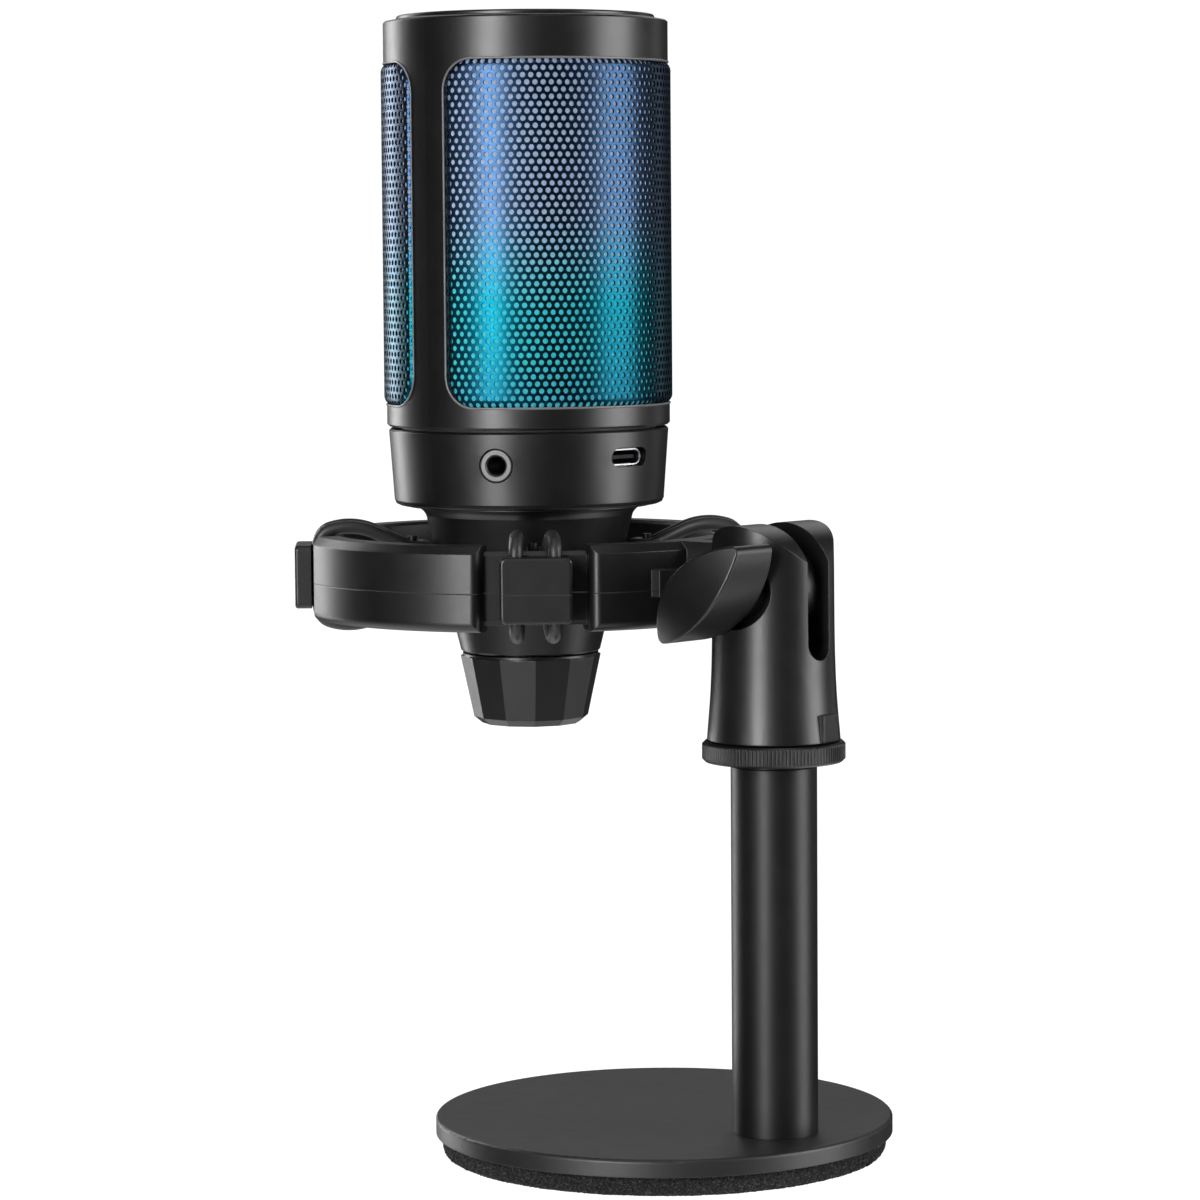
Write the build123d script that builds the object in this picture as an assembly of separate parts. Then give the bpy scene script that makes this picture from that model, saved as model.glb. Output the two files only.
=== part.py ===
"""Desktop USB condenser microphone in an elastic shock mount on a weighted round stand.

Frame: millimetres, +Z up, origin at the centre of the base disc's underside on the table.
The person speaking sits on the -Y side; the post stands at +Y behind the microphone.
"""

import os
from math import asin, atan2, copysign, cos, degrees, hypot, radians, sin, sqrt

from build123d import *

# ---------------------------------------------------------------- driving dimensions
# Stand
FOAM_RADIUS = 42.1
FOAM_THICK = 3.7
BASE_RADIUS = 43.4
BASE_THICK = 3.3
BASE_TOP_EDGE = 0.7
POST_Y = 27.7
POST_RADIUS = 8.0
POST_WALL = 2.4
PLUG_HEIGHT = 16.0
THREAD_RADIUS = 7.8
BASE_SCREW_RADIUS = 3.0

# Heights along the post
BASE_TOP = FOAM_THICK + BASE_THICK
LOCK_BOTTOM = 76.4
LOCK_HEIGHT = 3.75
SLEEVE_BOTTOM = 80.25
POST_TOP = 91.5
PIVOT_Z = 108.3

# Lock ring and swivel sleeve
LOCK_RADIUS = 13.25
LOCK_EDGE = 0.55
LOCK_RIDGES = 120
LOCK_RIDGE_DEPTH = 0.23
THREAD_CLEARANCE = 0.08
ARCH_RADIUS = 12.0
SLOT_WIDTH = 6.0
SLOT_FLOOR = 95.6
TAB_WIDTH = 4.7
TAB_HEIGHT = 5.0
TAB_THICK = 1.2
TAB_MID = 2.9
TAB_ANGLE = -6.0
INSERT_RADIUS = 9.6
INSERT_HEIGHT = 11.6
SLEEVE_PROFILE = [(12.35, 80.25), (12.05, 83.9), (11.75, 87.6), (11.45, 93.5), (11.25, 108.3), (11.05, 121.0)]

# Clamp across the sleeve's cheeks
SCREW_RADIUS = 3.0
SCREW_CLEARANCE = 0.06
CHEEK_RECESS_RADIUS = 6.9
CHEEK_RECESS_X = 7.6
NUT_FLATS = 10.0
NUT_THICK = 4.6
NUT_WALL = 2.6
WING_INNER_X = 11.6
WING_TIP_X = 20.8
WING_MID_X = 23.9
WING_HALF_LENGTH = 13.5
WING_HALF_WIDTH = 5.3
WING_ANGLE = 43.5
WING_HUB_RADIUS = 4.9

# Shock ring, its hooks and its arm
MIC_Y = -34.0
RING_OUTER = 43.2
RING_INNER = 37.0
RING_HEIGHT = 16.0
RING_BEVEL = 1.5
RING_BOTTOM_EDGE = 1.9
RECESS_FLOOR = 38.7
RECESS_HALF_ANGLE = 13.9
RECESS_HEIGHT = 13.8
RECESS_CORNER = 1.8
POCKET_INNER = 39.6
POCKET_OUTER = 41.1
HOOK_ANGLES = (45, 135, 225, 315)
HOOK_WIDTH = 13.4
HOOK_HEIGHT = 12.2
HOOK_INNER = 42.1
HOOK_OUTER = 45.3
STEM_WIDTH = 4.5
STEM_HEIGHT = 7.9
EYE_RADIUS = 8.3
TONGUE_WIDTH = 5.8
ARM_BELOW_PIVOT = 6.0
GUSSET_HALF_WIDTH = 11.2
GUSSET_TIP_HALF_WIDTH = 5.0
GUSSET_HEIGHT = 5.0
BUSH_RADIUS = 5.0

# Elastic loops and the cradle they hold
CORD_RADIUS = 1.3
CORD_VERTICAL_RADIUS = 40.7
CORD_HOOK_SPREAD = 3.65
CORD_RIM_BEND = 3.0
CORD_CREST_BEND = 12.0
CORD_PEG_BEND = 4.0
CORD_RISE = 18.0
CORD_FALL = 25.0
PEG_RADIUS = 0.9
PEG_DISTANCE = 22.7
PEG_CORD_HEIGHT = 5.2
PEG_CORD_GAP = 0.35
CRADLE_WALL = 2.0
EAR_WIDTH = 7.0
EAR_REACH = 25.0

# Microphone body, from the top down
TOP_Z = 215.3
CAP_BEVEL_TOP = 214.6
CAP_WALL_TOP = 213.9
WINDOW_TOP = 206.4
WINDOW_BOTTOM = 140.9
FRAME_BOTTOM = 136.75
SHELL_TOP = 136.5
SHELL_BOTTOM = 121.8
NECK_BOTTOM = 93.2
KNOB_TOP = 92.9
KNOB_SHOULDER = 80.5
KNOB_BOTTOM = 79.2
HEAD_RADIUS = 27.3
HEAD_WALL = 2.1
TOUCH_RADIUS = 24.75
PILLAR_HALF_ANGLE = 9.0
WINDOW_CORNER = 6.0
MESH_RADIUS = 27.8
MESH_THICK = 0.6
MESH_GAP = 0.15
SHELL_RADIUS_TOP = 27.0
SHELL_RADIUS_BOTTOM = 25.95
SHELL_WALL = 2.0
SHELL_FLOOR = 2.6
SHELL_FLOOR_HOLE = 9.0
NECK_FLARE_RADIUS = 23.6
NECK_TOP_RADIUS = 20.0
NECK_TOP_Z = 119.7
NECK_BOTTOM_RADIUS = 13.5
NECK_WALL = 1.8
KNOB_TOP_RADIUS = 13.4
KNOB_SHOULDER_RADIUS = 10.9
KNOB_FACETS = 12
KNOB_FIRST_CORNER = 137.6

# Ports
JACK_ANGLE = 60.0
JACK_Z = 130.3
JACK_BARREL_RADIUS = 3.15
JACK_BORE_RADIUS = 1.8
JACK_BORE_DEPTH = 14.0
JACK_LEAD_IN = 0.3
USB_Z = 131.4
USB_WIDTH = 8.94
USB_HEIGHT = 3.2
USB_OPENING_WIDTH = 9.7
USB_OPENING_HEIGHT = 3.6
USB_SET_BACK = 1.6
USB_DEPTH = 7.5
USB_HOLLOW = 6.2
USB_SKIN = 0.35

# Inside the microphone
SHAFT_RADIUS = 3.0
POT_RADIUS = 8.0
POT_HEIGHT = 7.0
POT_BUSH_RADIUS = 3.5
BOARD_BOTTOM = 126.1
BOARD_THICK = 1.6
CHASSIS_BOTTOM = 134.4
CHASSIS_TOP = 136.9
FLANGE_TOP = 140.0
FLANGE_INNER = 22.0
LINER_OUTER = 25.1
LINER_INNER = 23.3
LINER_TOP = 209.4
MAST_OUTER = 6.5
MAST_INNER = 5.0
MAST_TOP = 168.0
CAPSULE_Z = 180.0
CAPSULE_RADIUS = 8.0
CAPSULE_THICK = 8.0
LONG_SCREW_RADIUS = 1.25
LONG_SCREW_CIRCLE = 20.8
LONG_SCREW_ANGLES = (30, 150, 270)
NECK_SCREW_CIRCLE = 13.2
NECK_SCREW_ANGLES = (0, 120, 240)
FRAME_SCREW_RADIUS = 0.9
FRAME_SCREW_CIRCLE = 23.4
FRAME_SCREW_ANGLES = (90, 210, 330)

MIC_AXIS = Pos(0, MIC_Y, 0)
POST_AXIS = Pos(0, POST_Y, 0)
PIVOT = Pos(0, POST_Y, PIVOT_Z)


# ---------------------------------------------------------------- shared helpers
def turned(points):
    """Solid of revolution about Z from (radius, height) points."""
    return revolve(make_face(Polyline([(r, 0, z) for r, z in points], close=True)), Axis.Z)


def tube(outer, inner, bottom, top):
    """Plain ring between two heights."""
    return turned([(inner, bottom), (outer, bottom), (outer, top), (inner, top)])


def disc(radius, bottom, top):
    """Upright cylinder between two heights."""
    return Pos(0, 0, bottom) * Cylinder(radius, top - bottom, align=(Align.CENTER, Align.CENTER, Align.MIN))


def bar_x(radius, x_from, x_to):
    """Cylinder along X through the pivot."""
    span = Cylinder(radius, x_to - x_from, align=(Align.CENTER, Align.CENTER, Align.MIN))
    return PIVOT * Pos(x_from, 0, 0) * Rot(0, 90, 0) * span


def at_angle(angle):
    """Turn about Z so that local +Y points to the given angle, measured from +Y towards +X."""
    return Rot(0, 0, -angle)


def around(piece, circle, angles):
    """Copies of a piece moved out along Y and turned to each angle."""
    return [at_angle(angle) * Pos(0, circle, 0) * piece for angle in angles]


def neck_radius(z):
    """Outer radius of the neck's straight cone at a height."""
    share = (z - NECK_BOTTOM) / (NECK_TOP_Z - NECK_BOTTOM)
    return NECK_BOTTOM_RADIUS + (NECK_TOP_RADIUS - NECK_BOTTOM_RADIUS) * share


def shell_radius(z):
    """Outer radius of the lower shell's taper at a height."""
    share = (z - SHELL_BOTTOM) / (SHELL_TOP - SHELL_BOTTOM)
    return SHELL_RADIUS_BOTTOM + (SHELL_RADIUS_TOP - SHELL_RADIUS_BOTTOM) * share


def polygon_block(points, bottom, top):
    """Prism between two heights from plan points."""
    return Pos(0, 0, bottom) * extrude(make_face(Polyline(points, close=True)), top - bottom)


def sector(half_angle, reach, bottom, top):
    """Wedge about +Y, up to 90 degrees each side."""
    side_x = reach * sin(radians(half_angle))
    side_y = reach * cos(radians(half_angle))
    outline = [(0, 0), (side_x, side_y), (side_x, reach), (-side_x, reach), (-side_x, side_y)]
    return polygon_block(outline, bottom, top)


def window_opening(inner, outer, margin):
    """Curved window about +Y with rounded corners, between two radii, shrunk by a margin."""
    corner = WINDOW_CORNER - margin
    half_angle = 90 - PILLAR_HALF_ANGLE - degrees(margin / HEAD_RADIUS)
    corner_angle = half_angle - degrees(corner / HEAD_RADIUS)
    bottom = WINDOW_BOTTOM + margin
    top = WINDOW_TOP - margin
    shape = sector(half_angle, 2 * outer, bottom + corner, top - corner)
    shape += sector(corner_angle, 2 * outer, bottom, top)
    round_corner = Rot(-90, 0, 0) * Cylinder(corner, 2 * outer, align=(Align.CENTER, Align.CENTER, Align.MIN))
    for angle in (-corner_angle, corner_angle):
        for z in (bottom + corner, top - corner):
            shape += Pos(0, 0, z) * at_angle(angle) * round_corner
    return shape & tube(outer, inner, bottom, top)


# ---------------------------------------------------------------- stand
def foam_pad():
    """Soft pad glued under the base disc."""
    return disc(FOAM_RADIUS, 0, FOAM_THICK)


def base_plate():
    """Steel disc with a rounded top edge and a countersunk hole for the post's screw."""
    plate = disc(BASE_RADIUS, FOAM_THICK, BASE_TOP)
    plate = fillet(plate.edges().sort_by(Axis.Z)[-1:], BASE_TOP_EDGE)
    hole = disc(BASE_SCREW_RADIUS + SCREW_CLEARANCE, FOAM_THICK, BASE_TOP)
    head_radius = 2 * BASE_SCREW_RADIUS
    countersink = turned([(0, FOAM_THICK), (head_radius, FOAM_THICK), (0, FOAM_THICK + head_radius)])
    return plate - POST_AXIS * (hole + countersink)


def base_screw():
    """Countersunk hex-socket screw that pulls the post down onto the base."""
    head_radius = 2 * BASE_SCREW_RADIUS
    tip = BASE_TOP + PLUG_HEIGHT - 2.0
    head = turned([(0, FOAM_THICK), (head_radius, FOAM_THICK), (0, FOAM_THICK + head_radius)])
    socket = Pos(0, 0, FOAM_THICK) * extrude(RegularPolygon(2.3, 6), 2.2)
    return POST_AXIS * (head + disc(BASE_SCREW_RADIUS, FOAM_THICK, tip) - socket)


def post_plug():
    """Threaded plug pressed into the tube's foot."""
    outer = POST_RADIUS - POST_WALL
    return POST_AXIS * tube(outer, BASE_SCREW_RADIUS, BASE_TOP, BASE_TOP + PLUG_HEIGHT)


def post():
    """Steel tube, turned down and threaded at its top end."""
    inner = POST_RADIUS - POST_WALL
    thread_start = LOCK_BOTTOM - 1.0
    outline = [(inner, BASE_TOP), (POST_RADIUS, BASE_TOP), (POST_RADIUS, thread_start)]
    outline += [(THREAD_RADIUS, thread_start + 0.2), (THREAD_RADIUS, POST_TOP - 0.8)]
    outline += [(THREAD_RADIUS - 0.8, POST_TOP), (inner, POST_TOP)]
    return POST_AXIS * turned(outline)


def lock_ring():
    """Ridged jam nut that holds the head's direction on the post."""
    top = LOCK_BOTTOM + LOCK_HEIGHT
    groove = Circle(LOCK_RIDGE_DEPTH)
    plan = Circle(LOCK_RADIUS) - PolarLocations(LOCK_RADIUS, LOCK_RIDGES) * groove
    body = Pos(0, 0, LOCK_BOTTOM) * extrude(plan, LOCK_HEIGHT)
    bore = THREAD_RADIUS + THREAD_CLEARANCE
    edge_radius = LOCK_RADIUS - LOCK_EDGE
    outline = [(bore, LOCK_BOTTOM), (edge_radius, LOCK_BOTTOM), (LOCK_RADIUS, LOCK_BOTTOM + LOCK_EDGE)]
    outline += [(LOCK_RADIUS, top - LOCK_EDGE), (edge_radius, top), (bore, top)]
    return POST_AXIS * (body & turned(outline))


# ---------------------------------------------------------------- swivel head and its clamp
def swivel_sleeve():
    """Slotted head: a flared sleeve whose two cheeks end in an arch about the pivot."""
    side = Spline([(r, 0, z) for r, z in SLEEVE_PROFILE])
    low_r, low_z = SLEEVE_PROFILE[0]
    high_r, high_z = SLEEVE_PROFILE[-1]
    core = Polyline((high_r, 0, high_z), (0, 0, high_z), (0, 0, low_z), (low_r, 0, low_z))
    body = revolve(make_face([side, core]), Axis.Z)
    body = chamfer(body.edges().sort_by(Axis.Z)[:1], 0.3)
    arch = Rot(0, 90, 0) * Cylinder(ARCH_RADIUS, 4 * ARCH_RADIUS)
    below = Pos(0, 0, -2 * ARCH_RADIUS) * Box(4 * ARCH_RADIUS, 4 * ARCH_RADIUS, 4 * ARCH_RADIUS)
    body = POST_AXIS * body & PIVOT * (arch + below)
    tab = Pos(0, SLEEVE_PROFILE[0][0] - 0.15, SLEEVE_BOTTOM + TAB_MID) * Box(TAB_WIDTH, TAB_THICK, TAB_HEIGHT)
    body += POST_AXIS * at_angle(TAB_ANGLE) * fillet(tab.edges().group_by(Axis.Y)[-1], 0.2)

    slot_round = SLOT_WIDTH / 2
    slot_height = 2 * ARCH_RADIUS + PIVOT_Z - SLOT_FLOOR
    slot_middle = SLOT_FLOOR + slot_round + slot_height / 2
    slot = Pos(0, 0, slot_middle) * Box(SLOT_WIDTH, 4 * ARCH_RADIUS, slot_height)
    slot += Pos(0, 0, SLOT_FLOOR + slot_round) * Rot(90, 0, 0) * Cylinder(slot_round, 4 * ARCH_RADIUS)
    bore = disc(INSERT_RADIUS, SLEEVE_BOTTOM, SLEEVE_BOTTOM + 0.3 + INSERT_HEIGHT)
    pivot_hole = bar_x(SCREW_RADIUS + SCREW_CLEARANCE, -2 * ARCH_RADIUS, 2 * ARCH_RADIUS)
    recess = bar_x(CHEEK_RECESS_RADIUS, CHEEK_RECESS_X, 2 * ARCH_RADIUS)
    hexagon = RegularPolygon(NUT_FLATS / 2 + 0.05, 6, major_radius=False)
    nut_pocket = extrude(hexagon, 2 * ARCH_RADIUS - SLOT_WIDTH / 2 - NUT_WALL)
    nut_pocket = PIVOT * Pos(-2 * ARCH_RADIUS, 0, 0) * Rot(0, 90, 0) * nut_pocket
    return body - POST_AXIS * (slot + bore) - pivot_hole - recess - nut_pocket


def sleeve_insert():
    """Brass bush moulded into the sleeve, threaded for the post."""
    bottom = SLEEVE_BOTTOM + 0.3
    return POST_AXIS * tube(INSERT_RADIUS, THREAD_RADIUS + THREAD_CLEARANCE, bottom, bottom + INSERT_HEIGHT)


def clamp_nut():
    """Hex nut held in the far cheek."""
    start = -SLOT_WIDTH / 2 - NUT_WALL - NUT_THICK
    hexagon = RegularPolygon(NUT_FLATS / 2, 6, major_radius=False) - Circle(SCREW_RADIUS + SCREW_CLEARANCE)
    return PIVOT * Pos(start, 0, 0) * Rot(0, 90, 0) * extrude(hexagon, NUT_THICK)


def clamp_screw():
    """Steel screw across the cheeks, moulded into the wing knob."""
    return bar_x(SCREW_RADIUS, -SLOT_WIDTH / 2 - NUT_WALL - NUT_THICK, WING_TIP_X - 2.0)


def wing_knob():
    """Leaf-shaped hand knob with a domed outer face."""
    angle = radians(WING_ANGLE)
    plane = Plane(origin=(0, POST_Y, PIVOT_Z), x_dir=(0, cos(angle), sin(angle)), z_dir=(1, 0, 0))
    tip_left = (-WING_HALF_LENGTH, 0)
    tip_right = (WING_HALF_LENGTH, 0)
    leaf = make_face([ThreePointArc(tip_left, (0, WING_HALF_WIDTH), tip_right),
                      ThreePointArc(tip_right, (0, -WING_HALF_WIDTH), tip_left)])
    leaf = fillet(leaf.vertices(), 1.3)
    depth = WING_MID_X - WING_INNER_X
    body = Pos(0, 0, WING_INNER_X) * extrude(leaf, depth)
    sag = WING_MID_X - WING_TIP_X
    dome_radius = (WING_HALF_LENGTH ** 2 + sag ** 2) / (2 * sag)
    body &= Pos(0, 0, WING_MID_X - dome_radius) * Rot(90, 0, 0) * Cylinder(dome_radius, 4 * WING_HALF_WIDTH)
    body = fillet(body.faces().sort_by(Axis.Z)[-1].edges(), 0.45)
    hub_height = WING_INNER_X - CHEEK_RECESS_X - 0.15
    hub = Pos(0, 0, CHEEK_RECESS_X + 0.15) * Cylinder(
        WING_HUB_RADIUS, hub_height + 0.5, align=(Align.CENTER, Align.CENTER, Align.MIN))
    return plane * (body + hub) - clamp_screw()


# ---------------------------------------------------------------- shock mount
def ring_band():
    """Ring whose outer wall is set back to a flat floor at the four hooks, with its edges softened."""
    half_angle = 45 - RECESS_HALF_ANGLE
    reach = 2 * RING_OUTER
    side_x = reach * sin(radians(half_angle))
    side_y = reach * cos(radians(half_angle))
    wedge = make_face(Polyline((0, 0), (side_x, side_y), (-side_x, side_y), close=True))
    stretch = (Circle(RING_OUTER) - Circle(RING_INNER + 1)) & wedge
    corners = [v for v in stretch.vertices() if Vector(v.X, v.Y, 0).length > RING_OUTER - 0.1]
    stretch = fillet(corners, RECESS_CORNER)
    floors = Rot(0, 0, 45) * Rectangle(2 * RECESS_FLOOR, 2 * RECESS_FLOOR)
    plan = (Circle(RING_OUTER) & floors) - Circle(RING_INNER)
    for angle in (0, 90, 180, 270):
        plan += at_angle(angle) * stretch
    bottom = PIVOT_Z - RING_HEIGHT / 2
    top = PIVOT_Z + RING_HEIGHT / 2
    body = Pos(0, 0, bottom) * extrude(plan, RING_HEIGHT)
    edge = RING_BOTTOM_EDGE
    slant = edge * (1 - sqrt(0.5))
    outline = make_face([
        ThreePointArc((RING_OUTER - edge, 0, bottom), (RING_OUTER - slant, 0, bottom + slant),
                      (RING_OUTER, 0, bottom + edge)),
        Polyline((RING_OUTER, 0, bottom + edge), (RING_OUTER, 0, top - RING_BEVEL),
                 (RING_OUTER - RING_BEVEL, 0, top), (RING_INNER + 0.6, 0, top),
                 (RING_INNER - 0.2, 0, top - 0.8), (RING_INNER - 0.2, 0, bottom + 0.8),
                 (RING_INNER + 0.6, 0, bottom), (RING_OUTER - edge, 0, bottom)),
    ])
    return body & revolve(outline, Axis.Z)


def recess_rim():
    """What is taken off the ring's top rim at one hook, so that the cord passes over a bevel."""
    rim = RECESS_HEIGHT / 2
    behind = RING_INNER - 3
    beyond = RECESS_FLOOR + 0.2
    outline = [(behind, rim), (RECESS_FLOOR - 0.8, rim), (beyond, rim - 1.0)]
    outline += [(beyond, RING_HEIGHT), (behind, RING_HEIGHT)]
    cut = extrude(Plane.YZ * make_face(Polyline(*outline, close=True)), RING_OUTER, both=True)
    return cut & sector(RECESS_HALF_ANGLE, 2 * RING_OUTER, -RING_HEIGHT, 2 * RING_HEIGHT)


def ring_hook():
    """T-shaped hook about +Y: a stem and a square cap that holds the elastic loop."""
    depth = HOOK_OUTER - HOOK_INNER
    cap = Box(HOOK_WIDTH, depth, HOOK_HEIGHT)
    cap = fillet(cap.edges().filter_by(Axis.Y), 1.1)
    cap = fillet(cap.faces().sort_by(Axis.Y)[-1].edges(), 0.6)
    stem_from = RECESS_FLOOR - 1.0
    stem_to = HOOK_INNER + 0.4
    stem = Pos(0, (stem_from + stem_to) / 2, 0) * Box(STEM_WIDTH, stem_to - stem_from, STEM_HEIGHT)
    return Pos(0, 0, PIVOT_Z) * (Pos(0, (HOOK_INNER + HOOK_OUTER) / 2, 0) * cap + stem)


def ring_arm():
    """Web and gusset from the ring to a round eye between the sleeve's cheeks."""
    reach = POST_Y - MIC_Y
    start = RING_OUTER - 2.5
    below = PIVOT_Z - ARM_BELOW_PIVOT
    above = PIVOT_Z + RING_HEIGHT / 2
    web = Pos(0, (start + reach) / 2, (below + above) / 2) * Box(TONGUE_WIDTH, reach - start, above - below)
    eye = Pos(0, reach, PIVOT_Z) * Rot(0, 90, 0) * Cylinder(EYE_RADIUS, TONGUE_WIDTH)
    gusset_end = reach - ARCH_RADIUS - 2.8
    half = GUSSET_HALF_WIDTH
    narrow = GUSSET_TIP_HALF_WIDTH
    plan = [(-half, start - 2), (half, start - 2), (half, start + 3)]
    plan += [(narrow, gusset_end), (-narrow, gusset_end), (-half, start + 3)]
    gusset_mid = PIVOT_Z + 0.6
    gusset = polygon_block(plan, gusset_mid - GUSSET_HEIGHT / 2, gusset_mid + GUSSET_HEIGHT / 2)
    hole = Pos(0, reach, PIVOT_Z) * Rot(0, 90, 0) * Cylinder(BUSH_RADIUS, 2 * TONGUE_WIDTH)
    return web + eye + gusset - hole


def shock_ring():
    """Ring with four recessed hooks and the arm, one moulding."""
    body = ring_band()
    rim = recess_rim()
    for angle in HOOK_ANGLES:
        body -= Pos(0, 0, PIVOT_Z) * at_angle(angle) * rim
        body -= Pos(0, 0, PIVOT_Z) * at_angle(angle) * mirror(rim, Plane.XY)
    pocket = tube(POCKET_OUTER, POCKET_INNER, PIVOT_Z - RING_HEIGHT, PIVOT_Z + RING_HEIGHT / 2 - 2.4)
    pocket &= sector(45 - RECESS_HALF_ANGLE - 4, 2 * RING_OUTER, 0, 2 * PIVOT_Z)
    for angle in (90, 180, 270):
        body -= at_angle(angle) * pocket
    for angle in HOOK_ANGLES:
        body += at_angle(angle) * ring_hook()
    return MIC_AXIS * (body + ring_arm())


def pivot_bush():
    """Steel bush pressed into the arm's eye."""
    ring = Circle(BUSH_RADIUS) - Circle(SCREW_RADIUS + SCREW_CLEARANCE)
    return PIVOT * Pos(-TONGUE_WIDTH / 2, 0, 0) * Rot(0, 90, 0) * extrude(ring, TONGUE_WIDTH)


def cord_straight(place, length):
    """A straight length of cord along the local Z, and the place at its end."""
    return place * extrude(Circle(CORD_RADIUS), length), place * Pos(0, 0, length)


def cord_bend(place, radius, turn):
    """A bend of cord towards the local X, or away from it for a negative radius, and the place at its end."""
    side = copysign(1, radius)
    piece = revolve(Circle(CORD_RADIUS), Axis((radius, 0, 0), (0, side, 0)), turn)
    return place * piece, place * Pos(radius, 0, 0) * Rot(0, side * turn, 0) * Pos(-radius, 0, 0)


def elastic_loop(angle):
    """Closed round cord: two strands over and under the ring, round a peg above and one below."""
    run = CORD_VERTICAL_RADIUS - PEG_DISTANCE
    reach = hypot(CORD_HOOK_SPREAD, run)
    end_radius = PEG_RADIUS + CORD_RADIUS + PEG_CORD_GAP
    toe = degrees(atan2(CORD_HOOK_SPREAD, run) - asin(end_radius / reach))
    rise = radians(CORD_RISE)
    fall = radians(CORD_FALL)
    bends_run = CORD_RIM_BEND * (1 - sin(rise)) + CORD_CREST_BEND * (sin(rise) + sin(fall))
    bends_run += CORD_PEG_BEND * sin(fall)
    slope = (sqrt(reach ** 2 - end_radius ** 2) - bends_run) / cos(fall)
    drop = slope * sin(fall) + CORD_PEG_BEND * (1 - cos(fall)) + CORD_CREST_BEND * (cos(rise) - cos(fall))
    upright = PEG_CORD_HEIGHT + drop - CORD_RIM_BEND * cos(rise)

    place = Pos(CORD_HOOK_SPREAD, CORD_VERTICAL_RADIUS, 0) * Rot(0, 0, -90 - toe)
    strand, place = cord_straight(place, upright)
    for radius, turn in ((CORD_RIM_BEND, 90 - CORD_RISE), (CORD_CREST_BEND, CORD_RISE + CORD_FALL)):
        piece, place = cord_bend(place, radius, turn)
        strand += piece
    piece, place = cord_straight(place, slope)
    strand += piece
    piece, place = cord_bend(place, -CORD_PEG_BEND, CORD_FALL)
    strand += piece
    strand += place * revolve(Circle(CORD_RADIUS), Axis((0, -end_radius, 0), (1, 0, 0)), 90 - toe)
    upper = strand + mirror(strand, Plane.YZ)
    return MIC_AXIS * at_angle(angle) * Pos(0, 0, PIVOT_Z) * (upper + mirror(upper, Plane.XY))


def cradle():
    """Tapered collar on the neck, with an ear and a peg above and below it at each elastic loop."""
    half = PEG_CORD_HEIGHT - CORD_RADIUS - PEG_CORD_GAP
    low, high = PIVOT_Z - half, PIVOT_Z + half
    body = turned([(neck_radius(low) - 1, low), (neck_radius(low) + CRADLE_WALL, low),
                   (neck_radius(high) + CRADLE_WALL, high), (neck_radius(high) - 1, high)])
    ear = Pos(0, 0, low) * Box(EAR_WIDTH, EAR_REACH, 2 * half, align=(Align.CENTER, Align.MIN, Align.MIN))
    ear &= disc(EAR_REACH, low, high)
    peg_top = PIVOT_Z + PEG_CORD_HEIGHT + CORD_RADIUS + 0.8
    peg = disc(PEG_RADIUS, 2 * PIVOT_Z - peg_top, peg_top)
    for angle in HOOK_ANGLES:
        body += at_angle(angle) * (ear + Pos(0, PEG_DISTANCE, 0) * peg)
    gap = 0.03
    cone = turned([(0, low - 2), (neck_radius(low - 2) + gap, low - 2),
                   (neck_radius(high + 2) + gap, high + 2), (0, high + 2)])
    return MIC_AXIS * (body - cone)


# ---------------------------------------------------------------- microphone housing
def touch_pad():
    """Touch-sensitive mute disc on the top."""
    pad = disc(TOUCH_RADIUS, CAP_BEVEL_TOP - 1.0, TOP_Z)
    pad = fillet(pad.edges().sort_by(Axis.Z)[-1:], 0.45)
    return MIC_AXIS * pad


def head_frame():
    """Top cap, two pillars and bottom band in one moulding, with two large windows."""
    inner = HEAD_RADIUS - HEAD_WALL
    plate_bottom = CAP_BEVEL_TOP - 3.2
    outline = [(FLANGE_INNER, FRAME_BOTTOM + 0.2), (HEAD_RADIUS - 0.4, FRAME_BOTTOM + 0.2),
               (HEAD_RADIUS, FRAME_BOTTOM + 0.6), (HEAD_RADIUS, CAP_WALL_TOP),
               (HEAD_RADIUS - 0.35, CAP_WALL_TOP + 0.3),
               (TOUCH_RADIUS + 0.1, CAP_BEVEL_TOP), (TOUCH_RADIUS + 0.1, CAP_BEVEL_TOP - 1.0),
               (0, CAP_BEVEL_TOP - 1.0), (0, plate_bottom), (inner, plate_bottom), (inner, FLANGE_TOP),
               (FLANGE_INNER, FLANGE_TOP)]
    body = turned(outline)
    opening = window_opening(inner - 1, HEAD_RADIUS + 1, 0)
    for angle in (0, 180):
        body -= at_angle(angle) * opening
    screw = Pos(0, 0, FRAME_BOTTOM) * Cylinder(FRAME_SCREW_RADIUS, 5.2)
    for hole in around(screw, FRAME_SCREW_CIRCLE, FRAME_SCREW_ANGLES):
        body -= hole
    return MIC_AXIS * body


def grille(angle):
    """Curved sheet of perforated metal that fills one window."""
    panel = window_opening(MESH_RADIUS - MESH_THICK, MESH_RADIUS, MESH_GAP)
    return MIC_AXIS * at_angle(angle) * panel


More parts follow.
